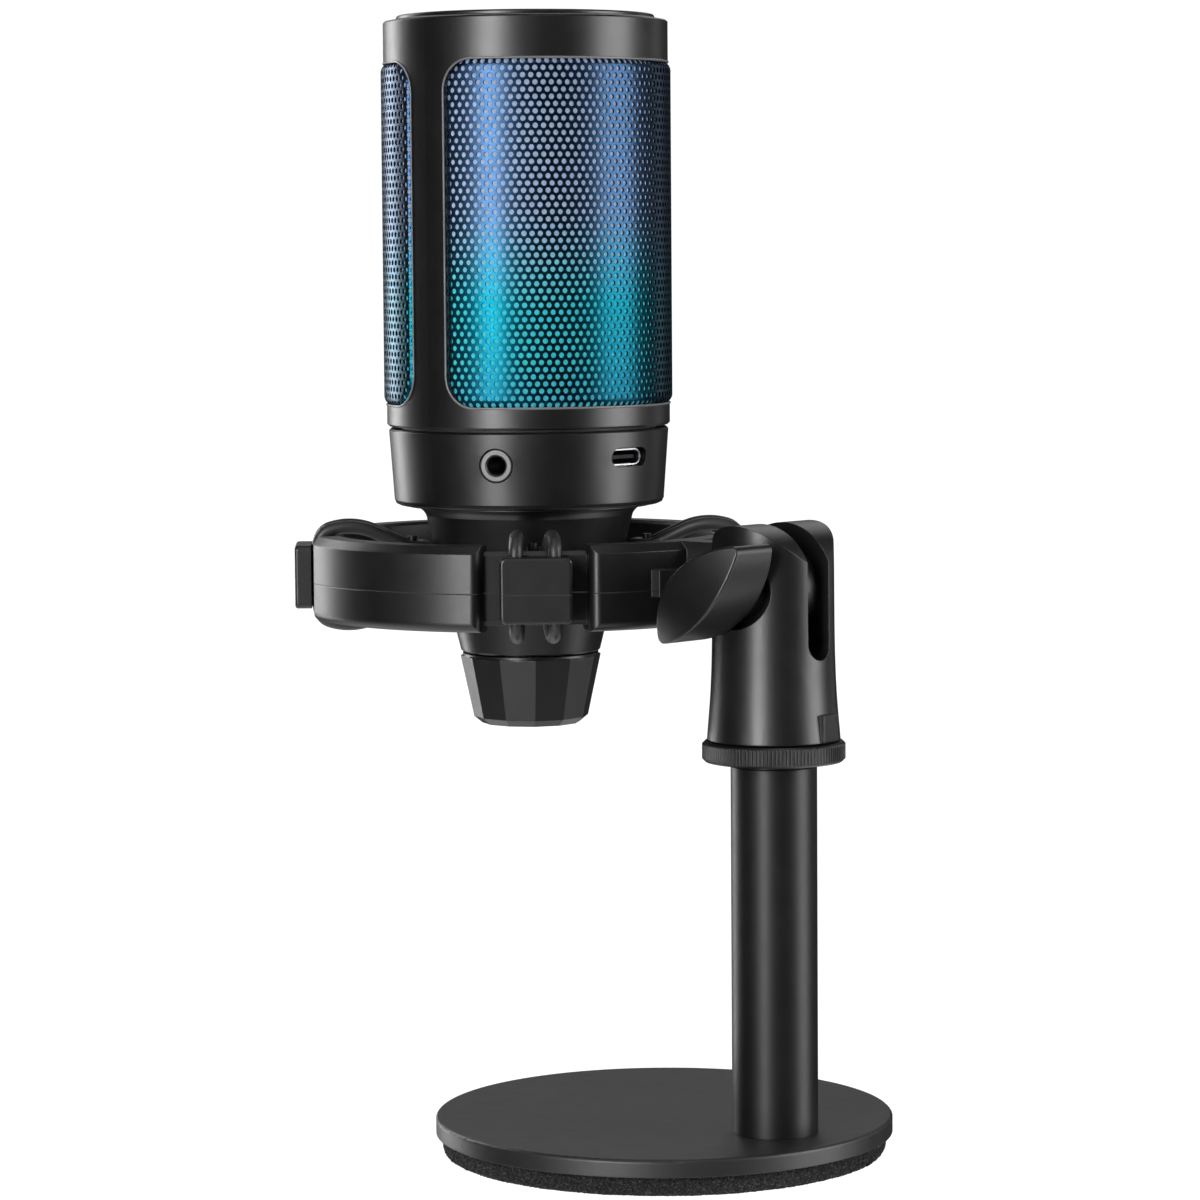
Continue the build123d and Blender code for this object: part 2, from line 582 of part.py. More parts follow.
def lower_shell():
    """Tapered housing of the ports, with a floor for the screws and three board supports."""
    floor_top = SHELL_BOTTOM + SHELL_FLOOR
    outline = [(SHELL_FLOOR_HOLE, SHELL_BOTTOM), (SHELL_RADIUS_BOTTOM - 0.9, SHELL_BOTTOM),
               (SHELL_RADIUS_BOTTOM - 0.25, SHELL_BOTTOM + 0.3),
               (shell_radius(SHELL_BOTTOM + 1), SHELL_BOTTOM + 1),
               (shell_radius(SHELL_TOP - 0.4), SHELL_TOP - 0.4),
               (SHELL_RADIUS_TOP - 0.4, SHELL_TOP), (SHELL_RADIUS_TOP - SHELL_WALL, SHELL_TOP),
               (SHELL_RADIUS_BOTTOM - SHELL_WALL, floor_top), (SHELL_FLOOR_HOLE, floor_top)]
    body = turned(outline)
    boss = disc(3.4, floor_top - 0.5, BOARD_BOTTOM)
    hole = disc(2.7, floor_top, BOARD_BOTTOM + 1) + disc(LONG_SCREW_RADIUS + 0.1, SHELL_BOTTOM - 1, floor_top)
    hole += disc(2.35, SHELL_BOTTOM - 1, SHELL_BOTTOM + 1.5)
    for piece in around(boss, LONG_SCREW_CIRCLE, LONG_SCREW_ANGLES):
        body += piece & disc(SHELL_RADIUS_BOTTOM - 0.5, SHELL_BOTTOM, SHELL_TOP)
    for piece in around(hole, LONG_SCREW_CIRCLE, LONG_SCREW_ANGLES):
        body -= piece
    neck_hole = disc(LONG_SCREW_RADIUS + 0.1, SHELL_BOTTOM - 1, floor_top + 1)
    for piece in around(neck_hole, NECK_SCREW_CIRCLE, NECK_SCREW_ANGLES):
        body -= piece
    jack_hole = Pos(0, 15, JACK_Z) * Rot(-90, 0, 0) * Cylinder(
        JACK_BARREL_RADIUS + 0.08, 20, align=(Align.CENTER, Align.CENTER, Align.MIN))
    usb_slot = Pos(0, 15, USB_Z) * Rot(-90, 0, 0) * extrude(
        SlotOverall(USB_OPENING_WIDTH, USB_OPENING_HEIGHT), 20)
    body -= at_angle(JACK_ANGLE) * jack_hole
    return MIC_AXIS * (body - usb_slot)


def neck_housing():
    """Flared and tapered neck under the shell, with bosses for its three screws."""
    top = SHELL_BOTTOM - 0.05
    floor = NECK_BOTTOM + 2.0
    flare = [Line((NECK_TOP_RADIUS, 0, NECK_TOP_Z), (NECK_BOTTOM_RADIUS, 0, NECK_BOTTOM + 0.3)),
             Polyline((NECK_BOTTOM_RADIUS, 0, NECK_BOTTOM + 0.3), (NECK_BOTTOM_RADIUS - 0.3, 0, NECK_BOTTOM),
                      (3.6, 0, NECK_BOTTOM), (3.6, 0, floor), (neck_radius(floor) - NECK_WALL, 0, floor),
                      (NECK_TOP_RADIUS - NECK_WALL, 0, NECK_TOP_Z), (NECK_TOP_RADIUS - NECK_WALL, 0, top),
                      (NECK_FLARE_RADIUS, 0, top), (NECK_FLARE_RADIUS, 0, top - 0.25)),
             ThreePointArc((NECK_FLARE_RADIUS, 0, top - 0.25), (21.2, 0, 121.05),
                           (NECK_TOP_RADIUS, 0, NECK_TOP_Z))]
    body = revolve(make_face(flare), Axis.Z)
    boss = disc(2.9, NECK_TOP_Z - 9, top) - disc(LONG_SCREW_RADIUS, NECK_TOP_Z - 9, top)
    inside = turned([(0, NECK_TOP_Z - 12), (neck_radius(NECK_TOP_Z - 12) - 0.5, NECK_TOP_Z - 12),
                     (NECK_TOP_RADIUS - 0.5, NECK_TOP_Z), (NECK_TOP_RADIUS - 0.5, top), (0, top)])
    arm = Pos(0, 2.5, 0) * Box(1.6, 7, 9, align=(Align.CENTER, Align.MIN, Align.MIN))
    for angle in NECK_SCREW_ANGLES:
        rib = Pos(0, NECK_SCREW_CIRCLE, NECK_TOP_Z - 9) * arm
        body += (at_angle(angle) * (Pos(0, NECK_SCREW_CIRCLE, 0) * boss + rib)) & inside
    return MIC_AXIS * body


def gain_knob():
    """Twelve-sided tapered knob on the potentiometer's shaft."""
    flat = cos(radians(180 / KNOB_FACETS))
    first_corner = Rot(0, 0, KNOB_FIRST_CORNER)
    wide = first_corner * RegularPolygon(KNOB_TOP_RADIUS / sqrt(flat), KNOB_FACETS)
    narrow = first_corner * RegularPolygon(KNOB_SHOULDER_RADIUS / sqrt(flat), KNOB_FACETS)
    end = first_corner * RegularPolygon(KNOB_SHOULDER_RADIUS - 1.4, KNOB_FACETS)
    wide_face = (Pos(0, 0, KNOB_TOP - 0.5) * wide).face()
    narrow_face = (Pos(0, 0, KNOB_SHOULDER) * narrow).face()
    end_face = (Pos(0, 0, KNOB_BOTTOM) * end).face()
    body = loft([wide_face, narrow_face], ruled=True) + loft([narrow_face, end_face], ruled=True)
    body += disc(KNOB_TOP_RADIUS - 0.25, KNOB_TOP - 0.8, KNOB_TOP)
    cavity = disc(7.5, KNOB_TOP - 4.4, KNOB_TOP)
    shaft = disc(SHAFT_RADIUS, KNOB_BOTTOM + 2.5, KNOB_TOP)
    return MIC_AXIS * (body - cavity - shaft)


# ---------------------------------------------------------------- inside the microphone
def pot_shaft():
    """Turning shaft of the gain potentiometer, pressed into the knob."""
    return MIC_AXIS * disc(SHAFT_RADIUS, KNOB_BOTTOM + 2.5, NECK_BOTTOM + 6)


def gain_pot():
    """Potentiometer body with its threaded bush through the neck's floor."""
    floor = NECK_BOTTOM + 2.0
    bore = disc(SHAFT_RADIUS + SCREW_CLEARANCE, KNOB_TOP - 3.8, NECK_BOTTOM + 6.1)
    body = disc(POT_RADIUS, floor, floor + POT_HEIGHT) + disc(POT_BUSH_RADIUS, KNOB_TOP - 3.6, floor + 1)
    return MIC_AXIS * (body - bore)


def pot_nut():
    """Thin hex nut that holds the potentiometer from below."""
    ring = RegularPolygon(5.0, 6, major_radius=False) - Circle(POT_BUSH_RADIUS + 0.05)
    return MIC_AXIS * Pos(0, 0, NECK_BOTTOM - 2.3) * extrude(ring, 2.2)


def chassis():
    """Inner skeleton: a disc between head and shell, three board posts and the capsule's mast."""
    body = disc(24.6, CHASSIS_BOTTOM, CHASSIS_TOP) + disc(MAST_OUTER, CHASSIS_BOTTOM, MAST_TOP)
    upper_post = disc(3.3, BOARD_BOTTOM + BOARD_THICK, CHASSIS_TOP)
    lower_post = disc(2.6, SHELL_BOTTOM + SHELL_FLOOR, CHASSIS_TOP)
    for post_piece in around(upper_post + lower_post, LONG_SCREW_CIRCLE, LONG_SCREW_ANGLES):
        body += post_piece & disc(24.3, 0, 2 * PIVOT_Z)
    thread = disc(LONG_SCREW_RADIUS, SHELL_BOTTOM, CHASSIS_TOP + 1)
    for hole in around(thread, LONG_SCREW_CIRCLE, LONG_SCREW_ANGLES):
        body -= hole
    screw_hole = disc(FRAME_SCREW_RADIUS + 0.1, CHASSIS_BOTTOM - 1, CHASSIS_TOP + 1)
    for hole in around(screw_hole, FRAME_SCREW_CIRCLE, FRAME_SCREW_ANGLES):
        body -= hole
    return MIC_AXIS * (body - disc(MAST_INNER, CHASSIS_BOTTOM, MAST_TOP))


def main_board():
    """Round circuit board of the sound card, over the shell's floor."""
    board = disc(23.4, BOARD_BOTTOM, BOARD_BOTTOM + BOARD_THICK)
    clearance = disc(2.75, BOARD_BOTTOM, BOARD_BOTTOM + BOARD_THICK)
    for hole in around(clearance, LONG_SCREW_CIRCLE, LONG_SCREW_ANGLES):
        board -= hole
    return MIC_AXIS * board


def board_chips():
    """Sound chip and memory soldered to the main board."""
    top = BOARD_BOTTOM + BOARD_THICK
    chips = [(0, -8, 9, 9, 1.0), (-10, 2, 5, 6, 1.2), (9, -5, 4, 3, 0.9), (-7, 12, 4, 4, 2.2)]
    align = (Align.CENTER, Align.CENTER, Align.MIN)
    return [MIC_AXIS * Pos(x, y, top) * Box(w, d, h, align=align) for x, y, w, d, h in chips]


def headphone_jack():
    """Round-nosed 3.5 mm socket, its barrel just inside the shell's surface."""
    top = BOARD_BOTTOM + BOARD_THICK
    nose = shell_radius(JACK_Z) - 0.15
    align = (Align.CENTER, Align.MIN, Align.MIN)
    body = Pos(0, nose - 16, top) * Box(7.0, 13.0, 2 * (JACK_Z - top), align=align)
    barrel = Pos(0, nose - 3, JACK_Z) * Rot(-90, 0, 0) * Cylinder(
        JACK_BARREL_RADIUS, 3, align=(Align.CENTER, Align.CENTER, Align.MIN))
    barrel = fillet(barrel.edges().sort_by(Axis.Y)[-1:], 0.35)
    bore = disc(JACK_BORE_RADIUS, -JACK_BORE_DEPTH, 1)
    mouth_radius = JACK_BORE_RADIUS + JACK_LEAD_IN
    bore += turned([(0, -JACK_LEAD_IN), (JACK_BORE_RADIUS, -JACK_LEAD_IN), (mouth_radius, 0), (0, 0)])
    bore = Pos(0, nose, JACK_Z) * Rot(-90, 0, 0) * bore
    return MIC_AXIS * at_angle(JACK_ANGLE) * (body + barrel - bore)


def usb_socket():
    """USB-C socket: a flat-sided shell on a raised block."""
    top = BOARD_BOTTOM + BOARD_THICK
    mouth = shell_radius(USB_Z) - USB_SET_BACK
    outer = SlotOverall(USB_WIDTH, USB_HEIGHT)
    inner = SlotOverall(USB_WIDTH - 2 * USB_SKIN, USB_HEIGHT - 2 * USB_SKIN)
    shell = Pos(0, mouth - USB_DEPTH, USB_Z) * Rot(-90, 0, 0) * extrude(outer, USB_DEPTH)
    hollow = Pos(0, mouth - USB_HOLLOW, USB_Z) * Rot(-90, 0, 0) * extrude(inner, USB_HOLLOW)
    base_height = USB_Z - USB_HEIGHT / 2 - top
    block = Box(8.0, 6.0, base_height + 0.4, align=(Align.CENTER, Align.MIN, Align.MIN))
    block = Pos(0, mouth - USB_DEPTH, top) * block
    return MIC_AXIS * (shell + block - hollow)


def usb_tongue():
    """Contact tongue inside the USB-C socket."""
    root = shell_radius(USB_Z) - USB_SET_BACK - USB_HOLLOW
    return MIC_AXIS * Pos(0, root, USB_Z) * Box(6.7, 5.4, 0.7, align=(Align.CENTER, Align.MIN, Align.CENTER))


def led_board():
    """Ring board that lights the liner from below."""
    board = tube(FLANGE_INNER + 0.8, MAST_OUTER + 0.3, FLANGE_TOP + 0.02, FLANGE_TOP + 1.4)
    return MIC_AXIS * board


def led_chips():
    """Colour LEDs round the ring board."""
    chip = Pos(0, 0, FLANGE_TOP + 1.4) * Box(2.8, 3.2, 1.4, align=(Align.CENTER, Align.CENTER, Align.MIN))
    return [MIC_AXIS * piece for piece in around(chip, 19.5, range(0, 360, 30))]


def foam_liner():
    """Thin open-cell liner behind the grilles; it spreads the light and stops breath noise."""
    return MIC_AXIS * tube(LINER_OUTER, LINER_INNER, FLANGE_TOP + 0.05, LINER_TOP)


def capsule():
    """Side-facing condenser capsule."""
    return MIC_AXIS * Pos(0, 0, CAPSULE_Z) * Rot(90, 0, 0) * Cylinder(CAPSULE_RADIUS, CAPSULE_THICK)


def capsule_mount():
    """Rubber ring round the capsule, with a stem that plugs into the mast."""
    ring = Cylinder(CAPSULE_RADIUS + 2.2, CAPSULE_THICK - 2) - Cylinder(CAPSULE_RADIUS, CAPSULE_THICK)
    ring = Pos(0, 0, CAPSULE_Z) * Rot(90, 0, 0) * ring
    stem = disc(MAST_INNER - 0.05, MAST_TOP - 7, CAPSULE_Z - CAPSULE_RADIUS - 1)
    bore = disc(1.2, MAST_TOP - 8, CAPSULE_Z - CAPSULE_RADIUS + 1)
    seat = Pos(0, 0, CAPSULE_Z) * Rot(90, 0, 0) * Cylinder(CAPSULE_RADIUS, 20)
    return MIC_AXIS * (ring + stem - bore - seat)


def signal_lead():
    """Screened lead from the capsule down the mast to the main board."""
    return MIC_AXIS * disc(0.9, BOARD_BOTTOM + BOARD_THICK, CAPSULE_Z - CAPSULE_RADIUS - 0.05)


def pot_lead():
    """Lead from the potentiometer up to the main board."""
    return MIC_AXIS * Pos(4.5, 0, 0) * disc(1.2, NECK_BOTTOM + 9.05, BOARD_BOTTOM - 0.02)


def touch_board():
    """Sensor board under the top plate."""
    top = CAP_BEVEL_TOP - 3.25
    return MIC_AXIS * disc(21.0, top - 1.2, top)


def ribbon_cable():
    """Flat cable from the sensor board down to the LED board."""
    top = CAP_BEVEL_TOP - 4.5
    bottom = FLANGE_TOP + 1.45
    strip = Box(6.0, 0.4, top - bottom, align=(Align.CENTER, Align.CENTER, Align.MIN))
    return MIC_AXIS * Pos(0, 0, bottom) * at_angle(255) * Pos(0, 20.4, 0) * strip


def long_screws():
    """Three screws that pull the lower shell up against the head."""
    screw = disc(2.2, SHELL_BOTTOM + 0.05, SHELL_BOTTOM + 1.45)
    screw += disc(LONG_SCREW_RADIUS, SHELL_BOTTOM + 0.5, CHASSIS_TOP - 0.4)
    return [MIC_AXIS * piece for piece in around(screw, LONG_SCREW_CIRCLE, LONG_SCREW_ANGLES)]


def neck_screws():
    """Three screws from the shell's floor into the neck's bosses."""
    floor = SHELL_BOTTOM + SHELL_FLOOR
    screw = disc(2.3, floor + 0.02, floor + 1.4) + disc(LONG_SCREW_RADIUS, floor - 8, floor + 0.5)
    return [MIC_AXIS * piece for piece in around(screw, NECK_SCREW_CIRCLE, NECK_SCREW_ANGLES)]


def frame_screws():
    """Three screws from the chassis up into the head frame's flange."""
    screw = disc(FRAME_SCREW_RADIUS + 0.4, CHASSIS_BOTTOM - 1.2, CHASSIS_BOTTOM - 0.02)
    screw += disc(FRAME_SCREW_RADIUS, CHASSIS_BOTTOM - 0.5, FLANGE_TOP - 1.2)
    return [MIC_AXIS * piece for piece in around(screw, FRAME_SCREW_CIRCLE, FRAME_SCREW_ANGLES)]


NODES = {
    "foam_pad": foam_pad,
    "base_plate": base_plate,
    "base_screw": base_screw,
    "post_plug": post_plug,
    "post": post,
    "lock_ring": lock_ring,
    "swivel_sleeve": swivel_sleeve,
    "sleeve_insert": sleeve_insert,
    "clamp_nut": clamp_nut,
    "clamp_screw": clamp_screw,
    "wing_knob": wing_knob,
    "shock_ring": shock_ring,
    "pivot_bush": pivot_bush,
    "elastic_loop_rear_right": lambda: elastic_loop(45),
    "elastic_loop_front_right": lambda: elastic_loop(135),
    "elastic_loop_front_left": lambda: elastic_loop(225),
    "elastic_loop_rear_left": lambda: elastic_loop(315),
    "cradle": cradle,
    "touch_pad": touch_pad,
    "head_frame": head_frame,
    "grille_rear": lambda: grille(0),
    "grille_front": lambda: grille(180),
    "lower_shell": lower_shell,
    "neck_housing": neck_housing,
    "gain_knob": gain_knob,
    "pot_shaft": pot_shaft,
    "gain_pot": gain_pot,
    "pot_nut": pot_nut,
    "chassis": chassis,
    "main_board": main_board,
    "board_chips": board_chips,
    "headphone_jack": headphone_jack,
    "usb_socket": usb_socket,
    "usb_tongue": usb_tongue,
    "led_board": led_board,
    "led_chips": led_chips,
    "foam_liner": foam_liner,
    "capsule": capsule,
    "capsule_mount": capsule_mount,
    "signal_lead": signal_lead,
    "pot_lead": pot_lead,
    "touch_board": touch_board,
    "ribbon_cable": ribbon_cable,
    "long_screws": long_screws,
    "neck_screws": neck_screws,
    "frame_screws": frame_screws,
}

os.makedirs("parts", exist_ok=True)
for name, make in NODES.items():
    shape = make()
    if isinstance(shape, list):
        shape = Compound(children=shape)
    export_step(shape, f"parts/{name}.step")
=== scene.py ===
"""Looks of the desktop microphone: perforated glowing grilles, elastic cords, foam pad, materials and studio.

Everything is in metres in the frame of the CAD model. Places come from the CAD nodes' own boxes.
"""
from math import cos, pi, radians, sin, sqrt

import bpy
import numpy as np
from mathutils import Matrix, Vector, noise


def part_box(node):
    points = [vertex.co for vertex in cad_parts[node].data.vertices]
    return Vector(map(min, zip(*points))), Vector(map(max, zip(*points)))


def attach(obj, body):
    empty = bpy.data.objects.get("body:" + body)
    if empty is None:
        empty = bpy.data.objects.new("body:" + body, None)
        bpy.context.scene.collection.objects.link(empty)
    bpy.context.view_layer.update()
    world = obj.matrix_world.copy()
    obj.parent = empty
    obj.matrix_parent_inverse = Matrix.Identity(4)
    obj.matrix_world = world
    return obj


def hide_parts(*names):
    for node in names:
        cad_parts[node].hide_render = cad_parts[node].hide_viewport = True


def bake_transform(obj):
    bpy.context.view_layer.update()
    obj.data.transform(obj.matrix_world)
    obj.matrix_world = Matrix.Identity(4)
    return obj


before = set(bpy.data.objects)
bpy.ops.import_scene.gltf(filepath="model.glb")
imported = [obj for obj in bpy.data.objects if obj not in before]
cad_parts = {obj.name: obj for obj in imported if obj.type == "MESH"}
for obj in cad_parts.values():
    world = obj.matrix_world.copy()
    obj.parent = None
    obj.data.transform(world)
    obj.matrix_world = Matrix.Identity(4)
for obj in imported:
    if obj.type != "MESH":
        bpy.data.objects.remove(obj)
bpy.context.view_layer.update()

MM = 0.001

# ---------------------------------------------------------------- sizes of the added detail
HOLE_PITCH = 1.54 * MM
ROW_PITCH = HOLE_PITCH * sqrt(3) / 2
HOLE_RADIUS = 0.52 * MM
SHEET_THICK = 0.45 * MM
SHEET_ROLL_WIDTH = 1.7 * MM
SHEET_ROLL_DROP = 1.6 * MM
SHEET_TUCK = 0.8 * MM
PILLAR_HALF_ANGLE = radians(9)
WINDOW_CORNER = 6.0 * MM

LIP_RADIUS = 0.24 * MM
LIP_SINK = 0.06 * MM
LIP_STEP = 0.8 * MM
LIP_SIDES = 10
LIP_CORNER_STEPS = 14

CORD_NAMES = ("rear_right", "front_right", "front_left", "rear_left")
CORD_VOXEL = 0.26 * MM
CORD_SMOOTH_FACTOR = 0.5
CORD_SMOOTH_STEPS = 6

FOAM_STEPS_ROUND = 1100
FOAM_STEPS_UP = 14
FOAM_TUCK = 0.5 * MM
FOAM_PORE = 0.55 * MM
FOAM_FINE_SHARE = 0.6
FOAM_PIT_LEVEL = 0.4
FOAM_PIT_DEPTH = 0.34 * MM
FOAM_WAVE = 5.0 * MM
FOAM_WAVE_DEPTH = 0.22 * MM

# ---------------------------------------------------------------- surface detail
# the range that a noise node mostly keeps to
NOISE_LOW = 0.3
NOISE_HIGH = 0.7
TONE_PATCH = 9 * MM
SMUDGE_PATCH = 4 * MM
ROUGHNESS_SPREAD = 0.015
USUAL_EDGE = 0.22 * MM
# cosine between a surface's own normal and its rounded one, where the rounding is full and where it stops
EDGE_FULL = 0.960
EDGE_NONE = 0.994
SEAM_BELOW_PIVOT = 0.8 * MM
SEAM_HALF_WIDTH = 0.12 * MM
SEAM_STRENGTH = 4.0
LINER_PATCH = 14 * MM
LINER_CELL = 0.5 * MM
SHEET_GRAIN = 1.1 * MM
FOAM_CELL = 0.42 * MM
FOAM_GRAIN = 0.25 * MM

# ---------------------------------------------------------------- camera and studio
CAMERA_AZIMUTH = radians(132.656)
CAMERA_ELEVATION = radians(4.845)
CAMERA_ROLL = radians(-0.427)
CAMERA_DISTANCE = 0.799263
CAMERA_SIDE_SHIFT = -0.011488
CAMERA_TARGET_HEIGHT = 0.10475
CAMERA_LENS = 127.25
SENSOR = 36.0

BACKDROP = 1.04
AMBIENT = 0.030
# the surround far below is pale: its strength, and the sines of the angles where it starts and is full
BELOW_TONE = 1.50
BELOW_FROM = -0.42
BELOW_FULL = -0.72

FLOOR_REACH = 30.0
FLOOR_SIDES = 96
FLOOR_DROP = 0.05 * MM
FLOOR_GLOW = 1.18
FLOOR_SHADED_SHARE = 0.10
FLOOR_TONE = 0.85
FLOOR_BOUNCE_TONE = 0.25

LIGHT_AIM_HEIGHT = 0.11
# name, degrees round the object from the camera, height, distance, width, tallness, radiance
SOFTBOXES = (
    ("key_left", -29, 0.49, 1.6, 0.42, 1.16, 22.0),
    ("key_left_low", -29, -0.31, 1.6, 0.42, 0.42, 7.5),
    ("key_right", 77, 0.49, 1.6, 0.92, 1.16, 8.4),
    ("key_right_low", 80, -0.31, 1.6, 0.80, 0.42, 5.5),
    ("rim_left", -134, 0.49, 1.6, 0.46, 1.16, 8.5),
    ("rim_left_low", -134, -0.31, 1.6, 0.46, 0.42, 5.0),
    ("rim_right", 132, 0.49, 1.6, 0.26, 1.16, 1.0),
    ("overhead", 10, 1.7, 0.5, 1.2, 1.2, 1.2),
    ("back_high", 180, 0.95, 1.4, 1.4, 0.6, 1.3),
)


# ---------------------------------------------------------------- places from the frame
def middle(node, axis):
    """Middle of a CAD node's box along one axis."""
    low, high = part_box(node)
    return (getattr(low, axis) + getattr(high, axis)) / 2


WINDOW_LOW, WINDOW_HIGH = (corner.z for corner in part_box("grille_rear"))
WINDOW_MIDDLE = (WINDOW_LOW + WINDOW_HIGH) / 2
WINDOW_HALF_HEIGHT = (WINDOW_HIGH - WINDOW_LOW) / 2
MIC_Y = middle("head_frame", "y")
FRAME_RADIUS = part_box("head_frame")[1].x - middle("head_frame", "x")
SHEET_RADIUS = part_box("grille_rear")[1].y - MIC_Y
PIVOT_HEIGHT = middle("shock_ring", "z")
RING_SEAM = PIVOT_HEIGHT - SEAM_BELOW_PIVOT


# ---------------------------------------------------------------- colours
def srgb(red, green, blue):
    """Linear colour with alpha from 0..255 screen values."""
    def linear(value):
        share = value / 255
        return share / 12.92 if share <= 0.04045 else ((share + 0.055) / 1.055) ** 2.4
    return (linear(red), linear(green), linear(blue), 1.0)


def grey(value):
    """Neutral colour that leans very slightly to blue."""
    return (value, value, value * 1.04, 1.0)


# ---------------------------------------------------------------- node helpers
def set_inputs(tree, node, **links):
    """Sets a node's inputs by name, either to a value or from another node's output socket."""
    for key, value in links.items():
        socket = node.inputs[key.replace("_", " ")]
        if isinstance(value, bpy.types.NodeSocket):
            tree.links.new(value, socket)
        else:
            socket.default_value = value


def add(tree, kind, settings=None, **links):
    """New node with its settings, and its inputs as for set_inputs."""
    made = tree.nodes.new(kind)
    for key, value in (settings or {}).items():
        setattr(made, key, value)
    set_inputs(tree, made, **links)
    return made


def ramp(tree, factor, stops):
    """Colour ramp with (position, colour) stops."""
    made = add(tree, "ShaderNodeValToRGB", Fac=factor)
    elements = made.color_ramp.elements
    while len(elements) > 1:
        elements.remove(elements[-1])
    elements[0].position = stops[0][0]
    elements[0].color = stops[0][1]
    for position, color in stops[1:]:
        elements.new(position).color = color
    return made.outputs["Color"]


def remap(tree, value, from_low, from_high, to_low, to_high):
    """Clamped linear change of range, from and to numbers or other nodes' values."""
    limits = {"From_Min": from_low, "From_Max": from_high, "To_Min": to_low, "To_Max": to_high}
    return add(tree, "ShaderNodeMapRange", Value=value, **limits).outputs["Result"]


def math_node(tree, operation, first, second=0.0):
    """Math node with one or two operands."""
    made = add(tree, "ShaderNodeMath", {"operation": operation})
    for socket, value in zip(made.inputs, (first, second)):
        if isinstance(value, bpy.types.NodeSocket):
            tree.links.new(value, socket)
        else:
            socket.default_value = value
    return made.outputs[0]


def vector_math(tree, operation, *operands, **links):
    """Vector math node on other nodes' vectors."""
    made = add(tree, "ShaderNodeVectorMath", {"operation": operation}, **links)
    for socket, value in zip(made.inputs, operands):
        tree.links.new(value, socket)
    return made


def noise_at(tree, position, size, detail):
    """Noise whose grain is about the given size in metres."""
    return add(tree, "ShaderNodeTexNoise", Vector=position, Scale=1 / size, Detail=detail).outputs["Fac"]


def cells_at(tree, position, size):
    """Distance to the middle of the nearest cell, for cells of about the given size in metres."""
    return add(tree, "ShaderNodeTexVoronoi", Vector=position, Scale=1 / size).outputs["Distance"]


def height_in_window(tree, position):
    """0 at the foot of the windows and 1 at their top."""
    up = add(tree, "ShaderNodeSeparateXYZ", Vector=position).outputs["Z"]
    return remap(tree, up, WINDOW_LOW, WINDOW_HIGH, 0.0, 1.0)


def soft_edges(tree, radius):
    """The surface's own normal, turned to a rounded one only where an edge is near."""
    own = add(tree, "ShaderNodeNewGeometry").outputs["Normal"]
    rounded = add(tree, "ShaderNodeBevel", {"samples": 6}, Radius=radius).outputs["Normal"]
    agreement = vector_math(tree, "DOT_PRODUCT", own, rounded).outputs["Value"]
    share = remap(tree, agreement, EDGE_FULL, EDGE_NONE, 1.0, 0.0)
    turn = vector_math(tree, "SUBTRACT", rounded, own).outputs[0]
    part = vector_math(tree, "SCALE", turn, Scale=share).outputs[0]
    total = vector_math(tree, "ADD", own, part).outputs[0]
    return vector_math(tree, "NORMALIZE", total).outputs[0]


# ---------------------------------------------------------------- materials
def new_material(name):
    """Material, its node tree, its shader and the position in the frame."""
    material = bpy.data.materials.new(name)
    material.use_nodes = True
    tree = material.node_tree
    position = add(tree, "ShaderNodeTexCoord").outputs["Object"]
    return material, tree, tree.nodes["Principled BSDF"], position


def finish_surface(name, dark, light, roughness, grain, depth, edge=USUAL_EDGE, metallic=0.0, specular=0.5,
                   seam=None):
    """Moulded or painted surface: two close tones, uneven roughness, fine grain and softened edges."""
    material, tree, shader, position = new_material(name)
    tone = noise_at(tree, position, TONE_PATCH, 4.0)
    smudge = noise_at(tree, position, SMUDGE_PATCH, 5.0)
    height = noise_at(tree, position, grain, 3.0)
    if seam is not None:
        up = add(tree, "ShaderNodeSeparateXYZ", Vector=position).outputs["Z"]
        gap = math_node(tree, "ABSOLUTE", math_node(tree, "SUBTRACT", up, seam))
        groove = remap(tree, gap, 0.0, SEAM_HALF_WIDTH, SEAM_STRENGTH, 0.0)
        height = math_node(tree, "SUBTRACT", height, groove)
    bump = add(tree, "ShaderNodeBump", Strength=1.0, Distance=depth, Height=height,
               Normal=soft_edges(tree, edge))
    uneven = remap(tree, smudge, NOISE_LOW, NOISE_HIGH,
                   roughness - ROUGHNESS_SPREAD, roughness + ROUGHNESS_SPREAD)
    set_inputs(tree, shader, Base_Color=ramp(tree, tone, [(0.35, dark), (0.65, light)]), Roughness=uneven,
               Normal=bump.outputs["Normal"], Metallic=metallic, Specular_IOR_Level=specular)
    return material


# colours up the window, from its foot to its top: the liner's glow, then the sheet's painted glow that stands
# in for the light behind it
GLOW = [(0.0, srgb(66, 166, 188)), (0.12, srgb(56, 184, 196)), (0.30, srgb(56, 188, 202)),
        (0.39, srgb(98, 184, 204)), (0.48, srgb(140, 178, 205)), (0.57, srgb(154, 173, 204)),
        (0.85, srgb(153, 170, 200)), (1.0, srgb(144, 160, 190))]
SHEET_PAINTED_GLOW = [(0.0, (0.002, 0.034, 0.058, 1)), (0.30, (0.001, 0.056, 0.082, 1)), (0.42, (0.006, 0.048, 0.084, 1)),
         (0.56, (0.015, 0.037, 0.076, 1)), (1.0, (0.014, 0.033, 0.070, 1))]
# the sheet's tint at a glancing angle, and the sponge's tones from painted shade in its pores to painted
# light on their walls
SHEET_EDGE_TINT = (0.92, 0.96, 1.0, 1)
PORE_SHADE_WALL_LIGHT = [(0.08, (0.0025, 0.0025, 0.0027, 1)), (0.34, (0.016, 0.016, 0.017, 1)),
              (0.50, (0.055, 0.055, 0.058, 1))]


